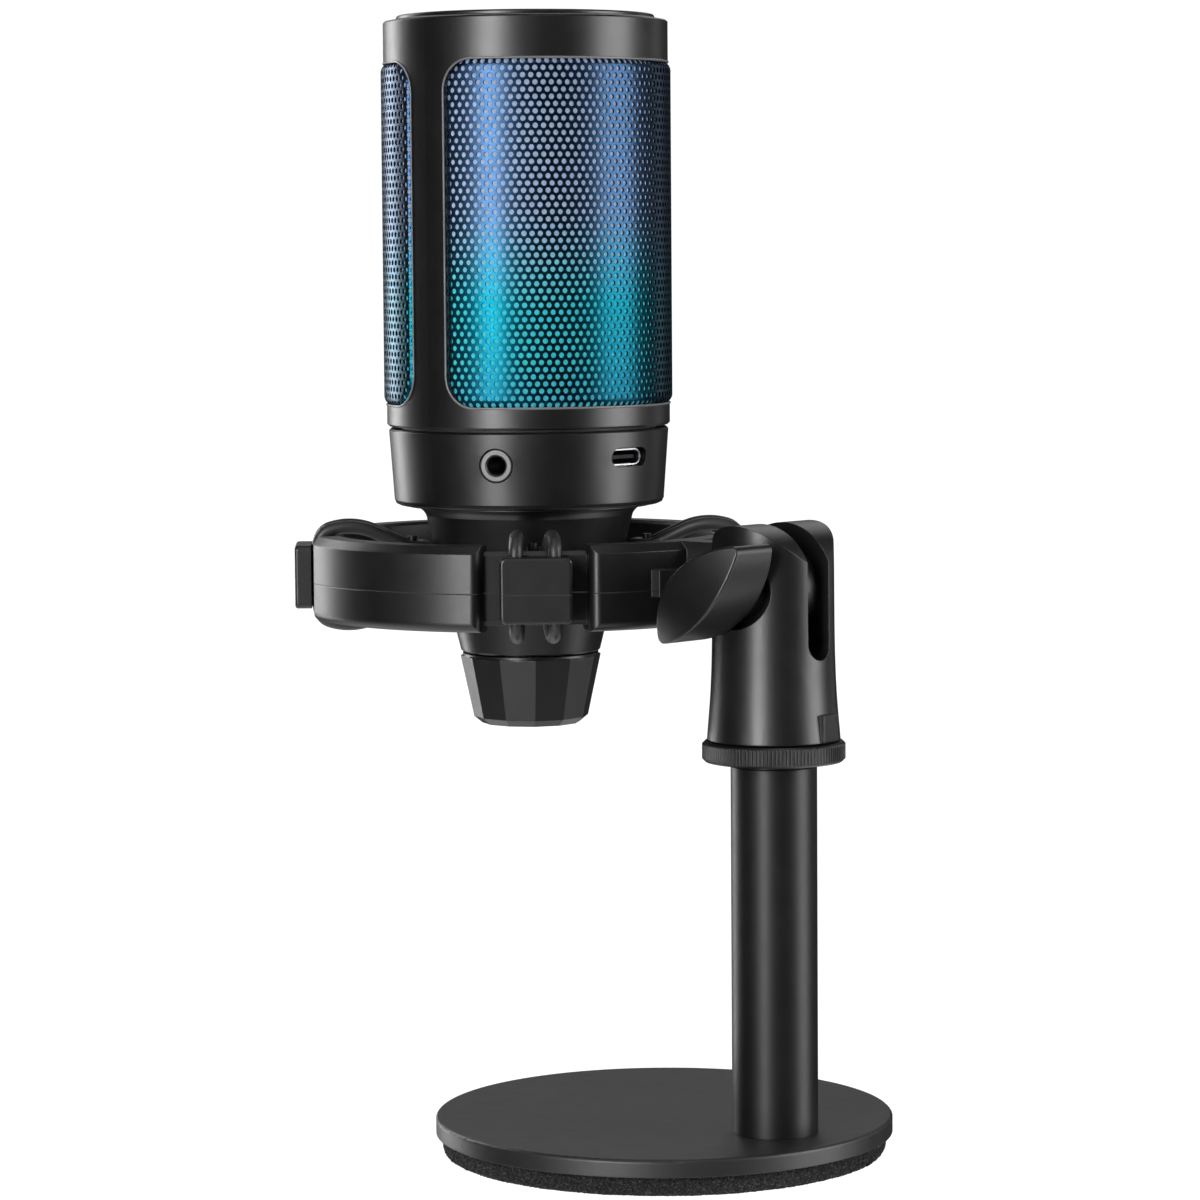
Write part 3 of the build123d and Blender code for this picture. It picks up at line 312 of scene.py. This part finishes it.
def glowing_liner():
    """Open-cell foam lit from inside, periwinkle above and cyan below."""
    material, tree, shader, position = new_material("glowing_liner")
    waver = remap(tree, noise_at(tree, position, LINER_PATCH, 2.0), NOISE_LOW, NOISE_HIGH, -0.03, 0.03)
    color = ramp(tree, math_node(tree, "ADD", height_in_window(tree, position), waver), GLOW)
    cells = cells_at(tree, position, LINER_CELL)
    bump = add(tree, "ShaderNodeBump", Strength=1.0, Distance=0.1 * MM, Height=cells)
    set_inputs(tree, shader, Base_Color=color, Roughness=0.9, Normal=bump.outputs["Normal"],
               Emission_Color=color, Emission_Strength=remap(tree, cells, 0.1, 0.7, 0.74, 0.46))
    return material


def grille_painted_glow():
    """Lacquered sheet whose colour is painted light: the tint of the glow behind it, with a faint painted
    glow of its own.
    """
    material, tree, shader, position = new_material("grille_painted_glow")
    color = ramp(tree, height_in_window(tree, position), SHEET_PAINTED_GLOW)
    uneven = noise_at(tree, position, SHEET_GRAIN, 3.0)
    rounded = add(tree, "ShaderNodeBevel", {"samples": 4}, Radius=0.08 * MM).outputs["Normal"]
    bump = add(tree, "ShaderNodeBump", Strength=0.6, Distance=0.02 * MM, Height=uneven, Normal=rounded)
    # the sheet's colour and its faint emission are painted glow from the lit liner behind it
    set_inputs(tree, shader, Base_Color=color, Emission_Color=color, Emission_Strength=0.03, Metallic=1.0,
               Specular_Tint=SHEET_EDGE_TINT, Normal=bump.outputs["Normal"],
               Roughness=remap(tree, uneven, NOISE_LOW, NOISE_HIGH, 0.26, 0.34))
    return material


def foam_rubber():
    """Black sponge: open pores darkened with painted shade, sharp cell walls made pale with painted light."""
    material, tree, shader, position = new_material("foam_rubber")
    grain = noise_at(tree, position, FOAM_GRAIN, 4.0)
    walls = math_node(tree, "MULTIPLY", cells_at(tree, position, FOAM_CELL), grain)
    bump = add(tree, "ShaderNodeBump", Strength=1.0, Distance=0.35 * MM, Height=walls)
    # dark pores are painted shade, pale cell walls painted light
    set_inputs(tree, shader, Base_Color=ramp(tree, walls, PORE_SHADE_WALL_LIGHT), Roughness=0.85,
               Specular_IOR_Level=0.25, Normal=bump.outputs["Normal"])
    return material


FINISHES = {
    "housing": dict(dark=grey(0.0016), light=grey(0.0026), roughness=0.35, grain=0.16 * MM, depth=0.012 * MM),
    # light grey bead along the windows: a painted highlight on the black frame's edge
    "lip_painted_highlight": dict(dark=grey(0.085), light=grey(0.115), roughness=0.34, grain=0.16 * MM, depth=0.006 * MM),
    "knob": dict(dark=grey(0.0030), light=grey(0.0042), roughness=0.35, grain=0.16 * MM, depth=0.010 * MM,
                 edge=0.3 * MM),
    "mount": dict(dark=grey(0.0022), light=grey(0.0034), roughness=0.38, grain=0.20 * MM, depth=0.016 * MM,
                  edge=0.3 * MM, seam=RING_SEAM),
    "sleeve": dict(dark=grey(0.0020), light=grey(0.0032), roughness=0.36, grain=0.20 * MM, depth=0.014 * MM,
                   edge=0.3 * MM),
    "powder_coat": dict(dark=grey(0.0052), light=grey(0.0066), roughness=0.44, grain=0.13 * MM,
                        depth=0.022 * MM, edge=0.35 * MM),
    "tube_paint": dict(dark=grey(0.0018), light=grey(0.0028), roughness=0.40, grain=0.18 * MM,
                       depth=0.012 * MM, specular=0.34),
    "touch_gloss": dict(dark=grey(0.003), light=grey(0.0045), roughness=0.34, grain=0.30 * MM,
                        depth=0.004 * MM),
    "cord": dict(dark=grey(0.008), light=grey(0.013), roughness=0.46, grain=0.14 * MM, depth=0.020 * MM,
                 edge=0.05 * MM),
    "socket": dict(dark=grey(0.020), light=grey(0.026), roughness=0.34, grain=0.12 * MM, depth=0.008 * MM,
                   edge=0.12 * MM),
    # black parts, and painted shade on the walls of the grille's holes
    "black_and_bore_shade": dict(dark=grey(0.003), light=grey(0.005), roughness=0.6, grain=0.10 * MM, depth=0.006 * MM,
                       edge=0.05 * MM, specular=0.2),
    "steel": dict(dark=grey(0.42), light=grey(0.52), roughness=0.28, grain=0.10 * MM, depth=0.006 * MM,
                  metallic=1.0),
    "brass": dict(dark=(0.55, 0.38, 0.14, 1), light=(0.66, 0.48, 0.20, 1), roughness=0.3, grain=0.12 * MM,
                  depth=0.006 * MM, metallic=1.0),
    "satin_alloy": dict(dark=grey(0.55), light=grey(0.65), roughness=0.36, grain=0.12 * MM, depth=0.006 * MM,
                        metallic=1.0),
    "inner_plastic": dict(dark=grey(0.05), light=grey(0.07), roughness=0.5, grain=0.2 * MM, depth=0.012 * MM),
    "board": dict(dark=(0.010, 0.085, 0.035, 1), light=(0.014, 0.11, 0.048, 1), roughness=0.32,
                  grain=0.4 * MM, depth=0.008 * MM),
    "lead": dict(dark=grey(0.10), light=grey(0.14), roughness=0.5, grain=0.2 * MM, depth=0.010 * MM),
    "white_part": dict(dark=grey(0.75), light=grey(0.85), roughness=0.3, grain=0.2 * MM, depth=0.006 * MM),
}
MATERIALS = {name: finish_surface(name, **settings) for name, settings in FINISHES.items()}
MATERIALS["foam"] = foam_rubber()
MATERIALS["glow"] = glowing_liner()
MATERIALS["grille"] = grille_painted_glow()

NODE_MATERIALS = {
    "base_plate": "powder_coat", "post": "tube_paint", "post_plug": "steel", "base_screw": "steel",
    "lock_ring": "sleeve", "swivel_sleeve": "sleeve", "sleeve_insert": "brass", "clamp_nut": "steel",
    "clamp_screw": "steel", "wing_knob": "sleeve", "shock_ring": "mount", "pivot_bush": "steel",
    "cradle": "mount", "touch_pad": "touch_gloss", "head_frame": "housing", "lower_shell": "housing",
    "neck_housing": "housing", "gain_knob": "knob", "pot_shaft": "steel", "gain_pot": "satin_alloy",
    "pot_nut": "steel", "chassis": "inner_plastic", "main_board": "board", "board_chips": "black_and_bore_shade",
    "headphone_jack": "socket", "usb_socket": "steel", "usb_tongue": "black_and_bore_shade", "led_board": "board",
    "led_chips": "white_part", "foam_liner": "glow", "capsule": "satin_alloy", "capsule_mount": "lead",
    "signal_lead": "lead", "pot_lead": "lead", "touch_board": "board", "ribbon_cable": "lead",
    "long_screws": "steel", "neck_screws": "steel", "frame_screws": "steel",
}


def dress(obj, name):
    """Gives an object one of the materials, in every slot."""
    obj.data.materials.clear()
    obj.data.materials.append(MATERIALS[name])


for node_name, material_name in NODE_MATERIALS.items():
    dress(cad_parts[node_name], material_name)


# ---------------------------------------------------------------- mesh helpers
def new_piece(name, vertices, faces, material_name, smooth):
    """Object from mesh data, with its material."""
    mesh = bpy.data.meshes.new(name)
    mesh.from_pydata([tuple(v) for v in vertices], [], faces)
    mesh.validate()
    mesh.update()
    piece = bpy.data.objects.new(name, mesh)
    bpy.context.scene.collection.objects.link(piece)
    dress(piece, material_name)
    if smooth:
        mesh.shade_smooth()
    return piece


def bake_modifiers(piece):
    """Replaces a piece's mesh by its evaluated one and drops the modifiers."""
    graph = bpy.context.evaluated_depsgraph_get()
    piece.data = bpy.data.meshes.new_from_object(piece.evaluated_get(graph))
    piece.modifiers.clear()


def quads(*corners):
    """Four-cornered faces from four arrays of vertex numbers."""
    return np.stack(corners, axis=-1).reshape(-1, 4)


# ---------------------------------------------------------------- perforated grilles
def edge_distance(across, up):
    """How far a point of the unrolled sheet is inside the window's rounded outline."""
    half_width = SHEET_RADIUS * (pi / 2 - PILLAR_HALF_ANGLE)
    side = np.abs(across) - half_width + WINDOW_CORNER
    rise = np.abs(up) - WINDOW_HALF_HEIGHT + WINDOW_CORNER
    outside = np.hypot(np.maximum(side, 0), np.maximum(rise, 0))
    return WINDOW_CORNER - outside - np.minimum(np.maximum(side, rise), 0)


def sheet_radius(across, up):
    """Radius of the sheet's face, rolled inward along the window's edge."""
    share = np.clip(edge_distance(across, up) / SHEET_ROLL_WIDTH, 0, 1)
    return SHEET_RADIUS - SHEET_ROLL_DROP * (1 - np.sqrt(1 - (1 - share) ** 2))


def hole_centres():
    """Middles of the holes on the unrolled sheet, in staggered rows that fill the window."""
    rows = int(WINDOW_HALF_HEIGHT / ROW_PITCH) + 2
    columns = int(SHEET_RADIUS * pi / 2 / HOLE_PITCH) + 2
    row, column = np.meshgrid(np.arange(-rows, rows + 1), np.arange(-columns, columns + 1), indexing="ij")
    across = ((column + 0.5 * (row % 2)) * HOLE_PITCH).ravel()
    up = (row * ROW_PITCH).ravel()
    keep = edge_distance(across, up) > -SHEET_TUCK
    return np.stack([across[keep], up[keep]], axis=1)


def cell_border():
    """Corners and edge middles of one hexagonal cell, round its own middle."""
    half, third = HOLE_PITCH / 2, ROW_PITCH / 3
    corners = [(half, third), (0, 2 * third), (-half, third),
               (-half, -third), (0, -2 * third), (half, -third)]
    border = []
    for first, second in zip(corners, corners[1:] + corners[:1]):
        border += [first, ((first[0] + second[0]) / 2, (first[1] + second[1]) / 2)]
    return np.array(border)


def sheet_points(facing, flat, depth):
    """Places in the frame of points of the unrolled sheet, at a depth behind its face."""
    reach = sheet_radius(flat[:, 0], flat[:, 1]) - depth
    angle = flat[:, 0] / SHEET_RADIUS
    height = WINDOW_MIDDLE + flat[:, 1]
    side = facing * reach * np.sin(angle)
    forward = MIC_Y + facing * reach * np.cos(angle)
    return np.stack([side, forward, height], axis=1)


def sheet_faces(outer_ids, bore_ids, back):
    """Faces of the sheet's front, then those of its back, its bores and its rim."""
    following = np.roll(np.arange(outer_ids.shape[1]), -1)
    near_a, near_b = outer_ids, outer_ids[:, following]
    hole_a, hole_b = bore_ids, bore_ids[:, following]
    front = quads(near_b, near_a, hole_a, hole_b)
    rear = quads(near_a, near_b, hole_b, hole_a) + back
    wall = quads(hole_b, hole_a, hole_a + back, hole_b + back)
    edges = np.stack([near_a, near_b], axis=2).reshape(-1, 2)
    _, inverse, uses = np.unique(np.sort(edges, axis=1), axis=0, return_inverse=True, return_counts=True)
    rim_a, rim_b = edges[uses[inverse.ravel()] == 1].T
    return front, np.concatenate([rear, wall, quads(rim_a, rim_b, rim_b + back, rim_a + back)])


def perforated_sheet(name, facing, node):
    """Sheet of hexagonal cells, each with a round hole through it."""
    centres = hole_centres()
    border = cell_border()
    bore = border / np.hypot(border[:, 0], border[:, 1])[:, None] * HOLE_RADIUS
    count, sides = len(centres), len(border)

    # cells that touch share their border's vertices, which lie on a lattice
    outer = (centres[:, None, :] + border[None]).reshape(-1, 2)
    lattice = np.array([HOLE_PITCH / 4, ROW_PITCH / 6])
    _, first_seen, shared = np.unique(np.round(outer / lattice).astype(int), axis=0,
                                      return_index=True, return_inverse=True)
    flat = np.concatenate([outer[first_seen], (centres[:, None, :] + bore[None]).reshape(-1, 2)])
    outer_ids = shared.reshape(count, sides)
    bore_ids = len(first_seen) + np.arange(count * sides).reshape(count, sides)

    vertices = np.concatenate([sheet_points(facing, flat, 0), sheet_points(facing, flat, SHEET_THICK)])
    front, others = sheet_faces(outer_ids, bore_ids, len(flat))
    faces = np.concatenate([front, others])
    piece = new_piece(name, vertices, faces.tolist(), "grille", smooth=False)
    piece.data.materials.append(MATERIALS["black_and_bore_shade"])
    # only the front gets the sheet's painted glow: the back and the rim stay black, and the black in the
    # bores is painted shade
    slots = np.zeros(len(faces), dtype=np.int32)
    slots[len(front):] = 1
    piece.data.polygons.foreach_set("material_index", slots)
    piece.data.update()
    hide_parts(node)
    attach(piece, "microphone")


perforated_sheet("grille_sheet_rear", 1, "grille_rear")
perforated_sheet("grille_sheet_front", -1, "grille_front")


# ---------------------------------------------------------------- window lips
def rounded_corners(half_width, half_height, corner):
    """Points of a rounded rectangle's four arcs with the outward direction at each, anticlockwise."""
    points = []
    for centre_side, centre_rise, start in ((1, 1, 0), (-1, 1, 90), (-1, -1, 180), (1, -1, 270)):
        for step in range(LIP_CORNER_STEPS + 1):
            turn = radians(start + 90 * step / LIP_CORNER_STEPS)
            out = (cos(turn), sin(turn))
            points.append((centre_side * (half_width - corner) + corner * out[0],
                           centre_rise * (half_height - corner) + corner * out[1], out))
    return points


def window_outline(half_width):
    """The window's outline, with its straight sides cut into short steps."""
    points = rounded_corners(half_width, WINDOW_HALF_HEIGHT, WINDOW_CORNER)
    finer = []
    for here, there in zip(points, points[1:] + points[:1]):
        span = sqrt((there[0] - here[0]) ** 2 + (there[1] - here[1]) ** 2)
        cuts = max(1, round(span / LIP_STEP))
        for cut in range(cuts):
            share = cut / cuts
            across = here[0] + (there[0] - here[0]) * share
            up = here[1] + (there[1] - here[1]) * share
            finer.append((across, up, here[2]))
    return finer


def window_lip(name, facing):
    """Thin rounded bead along the edge of a window, light grey as a painted highlight on the frame's edge."""
    outline = window_outline(FRAME_RADIUS * (pi / 2 - PILLAR_HALF_ANGLE))
    vertices = []
    for across, up, out in outline:
        angle = across / FRAME_RADIUS
        away = Vector((facing * sin(angle), facing * cos(angle), 0))
        along = Vector((facing * cos(angle), -facing * sin(angle), 0))
        side = along * out[0] + Vector((0, 0, out[1]))
        centre = Vector((0, MIC_Y, WINDOW_MIDDLE + up)) + away * (FRAME_RADIUS - LIP_SINK)
        for step in range(LIP_SIDES):
            turn = 2 * pi * step / LIP_SIDES
            vertices.append(centre + (side * cos(turn) + away * sin(turn)) * LIP_RADIUS)
    faces = []
    for place in range(len(outline)):
        here = place * LIP_SIDES
        there = (place + 1) % len(outline) * LIP_SIDES
        for step in range(LIP_SIDES):
            after = (step + 1) % LIP_SIDES
            faces.append((here + step, there + step, there + after, here + after))
    piece = new_piece(name, vertices, faces, "lip_painted_highlight", smooth=True)
    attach(piece, "microphone")


window_lip("window_lip_rear", 1)
window_lip("window_lip_front", -1)


# ---------------------------------------------------------------- elastic cords
def elastic_cord(name):
    """Evenly meshed cord on the CAD loop's path, which stretches between the ring and the microphone."""
    node = "elastic_loop_" + name
    piece = bpy.data.objects.new("cord_" + name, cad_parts[node].data.copy())
    bpy.context.scene.collection.objects.link(piece)
    remesh = piece.modifiers.new("even_mesh", "REMESH")
    remesh.mode = "VOXEL"
    remesh.voxel_size = CORD_VOXEL
    relax = piece.modifiers.new("relax", "SMOOTH")
    relax.factor = CORD_SMOOTH_FACTOR
    relax.iterations = CORD_SMOOTH_STEPS
    bake_modifiers(piece)
    piece.data.shade_smooth()
    dress(piece, "cord")
    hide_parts(node)
    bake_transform(piece)


for quarter, cord_name in enumerate(CORD_NAMES):
    elastic_cord(cord_name)


# ---------------------------------------------------------------- foam pad
def foam_pad():
    """Sponge disc with a torn, pitted rim."""
    low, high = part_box("foam_pad")
    radius = (high.x - low.x) / 2
    centre = Vector(((low.x + high.x) / 2, (low.y + high.y) / 2, 0))
    vertices = []
    for step_up in range(FOAM_STEPS_UP + 1):
        share = step_up / FOAM_STEPS_UP
        lift = Vector((0, 0, low.z + (high.z - low.z) * share))
        tuck = FOAM_TUCK * (2 * share - 1) ** 4
        for step_round in range(FOAM_STEPS_ROUND):
            turn = 2 * pi * step_round / FOAM_STEPS_ROUND
            out = Vector((cos(turn), sin(turn), 0))
            point = out * radius + lift
            fine_pits = FOAM_FINE_SHARE * noise.noise(point / (0.5 * FOAM_PORE))
            pits = noise.noise(point / FOAM_PORE) + fine_pits - FOAM_PIT_LEVEL
            wave = noise.noise(point / FOAM_WAVE)
            reach = radius - tuck + FOAM_PIT_DEPTH * pits + FOAM_WAVE_DEPTH * wave
            vertices.append(centre + out * reach + lift)
    faces = []
    for low_row in range(0, FOAM_STEPS_UP * FOAM_STEPS_ROUND, FOAM_STEPS_ROUND):
        high_row = low_row + FOAM_STEPS_ROUND
        for here in range(FOAM_STEPS_ROUND):
            after = (here + 1) % FOAM_STEPS_ROUND
            faces.append((low_row + here, low_row + after, high_row + after, high_row + here))
    faces.append(tuple(reversed(range(FOAM_STEPS_ROUND))))
    faces.append(tuple(range(len(vertices) - FOAM_STEPS_ROUND, len(vertices))))
    piece = new_piece("foam_pad_sponge", vertices, faces, "foam", smooth=False)
    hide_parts("foam_pad")
    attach(piece, "stand")


foam_pad()


# ---------------------------------------------------------------- studio
def floor_material():
    """Pale floor: bright to the camera with a soft contact shadow, a mid tone to everything else."""
    material = bpy.data.materials.new("studio_floor")
    material.use_nodes = True
    tree = material.node_tree
    tree.nodes.clear()
    bright = add(tree, "ShaderNodeEmission", Color=(1, 1, 1, 1), Strength=FLOOR_GLOW)
    matte = add(tree, "ShaderNodeBsdfDiffuse", Color=(FLOOR_TONE, FLOOR_TONE, FLOOR_TONE, 1))
    bounce = add(tree, "ShaderNodeBsdfDiffuse",
                 Color=(FLOOR_BOUNCE_TONE, FLOOR_BOUNCE_TONE, FLOOR_BOUNCE_TONE, 1))
    rays = add(tree, "ShaderNodeLightPath")
    seen = add(tree, "ShaderNodeMixShader", Fac=FLOOR_SHADED_SHARE)
    choose = add(tree, "ShaderNodeMixShader", Fac=rays.outputs["Is Camera Ray"])
    output = add(tree, "ShaderNodeOutputMaterial")
    tree.links.new(bright.outputs[0], seen.inputs[1])
    tree.links.new(matte.outputs[0], seen.inputs[2])
    tree.links.new(bounce.outputs[0], choose.inputs[1])
    tree.links.new(seen.outputs[0], choose.inputs[2])
    tree.links.new(choose.outputs[0], output.inputs["Surface"])
    return material


def studio_floor():
    """Large round floor under the object, left out of reflections and of shadows cast from below."""
    vertices = []
    for step in range(FLOOR_SIDES):
        turn = 2 * pi * step / FLOOR_SIDES
        vertices.append((FLOOR_REACH * cos(turn), FLOOR_REACH * sin(turn), 0))
    mesh = bpy.data.meshes.new("studio_floor")
    mesh.from_pydata(vertices, [], [tuple(range(FLOOR_SIDES))])
    mesh.materials.append(floor_material())
    floor = bpy.data.objects.new("studio_floor", mesh)
    floor.location.z = -FLOOR_DROP
    floor.visible_glossy = False
    floor.visible_shadow = False
    bpy.context.scene.collection.objects.link(floor)


def studio_world():
    """White backdrop to the camera; to everything else a dim surround that is pale only far below."""
    world = bpy.data.worlds.new("studio")
    bpy.context.scene.world = world
    world.use_nodes = True
    tree = world.node_tree
    rays = add(tree, "ShaderNodeLightPath")
    direction = add(tree, "ShaderNodeTexCoord").outputs["Generated"]
    upward = add(tree, "ShaderNodeSeparateXYZ", Vector=direction).outputs["Z"]
    surround = remap(tree, upward, BELOW_FULL, BELOW_FROM, BELOW_TONE, AMBIENT)
    strength = remap(tree, rays.outputs["Is Camera Ray"], 0.0, 1.0, surround, BACKDROP)
    set_inputs(tree, tree.nodes["Background"], Strength=strength, Color=(1, 1, 1, 1))


def softbox(name, turn, height, distance, width, tallness, radiance):
    """Area light at an angle round the object from the camera, positive to the camera's right."""
    angle = CAMERA_AZIMUTH + radians(turn)
    light = bpy.data.lights.new(name, "AREA")
    light.shape = "RECTANGLE"
    light.size = width
    light.size_y = tallness
    light.energy = radiance * pi * width * tallness
    lamp = bpy.data.objects.new(name, light)
    lamp.location = (distance * sin(angle), -distance * cos(angle), height)
    towards = Vector((0, 0, LIGHT_AIM_HEIGHT)) - lamp.location
    lamp.rotation_euler = towards.to_track_quat("-Z", "Y").to_euler()
    lamp.visible_camera = False
    bpy.context.scene.collection.objects.link(lamp)


def studio_camera():
    """Long lens, nearly level, with a very slight roll."""
    data = bpy.data.cameras.new("camera")
    data.lens = CAMERA_LENS
    data.sensor_width = SENSOR
    data.clip_start = 0.02
    data.clip_end = 100
    back = Vector((sin(CAMERA_AZIMUTH) * cos(CAMERA_ELEVATION), -cos(CAMERA_AZIMUTH) * cos(CAMERA_ELEVATION),
                   sin(CAMERA_ELEVATION)))
    level_right = Vector((cos(CAMERA_AZIMUTH), sin(CAMERA_AZIMUTH), 0))
    level_up = back.cross(level_right)
    right = level_right * cos(CAMERA_ROLL) + level_up * sin(CAMERA_ROLL)
    up = level_up * cos(CAMERA_ROLL) - level_right * sin(CAMERA_ROLL)
    target = level_right * CAMERA_SIDE_SHIFT + Vector((0, 0, CAMERA_TARGET_HEIGHT))
    camera = bpy.data.objects.new("camera", data)
    turned = Matrix((right, up, back)).transposed().to_4x4()
    camera.matrix_world = Matrix.Translation(target + back * CAMERA_DISTANCE) @ turned
    bpy.context.scene.collection.objects.link(camera)
    bpy.context.scene.camera = camera


studio_floor()
studio_world()
for softbox_settings in SOFTBOXES:
    softbox(*softbox_settings)
studio_camera()
bpy.context.scene.view_settings.view_transform = "Standard"
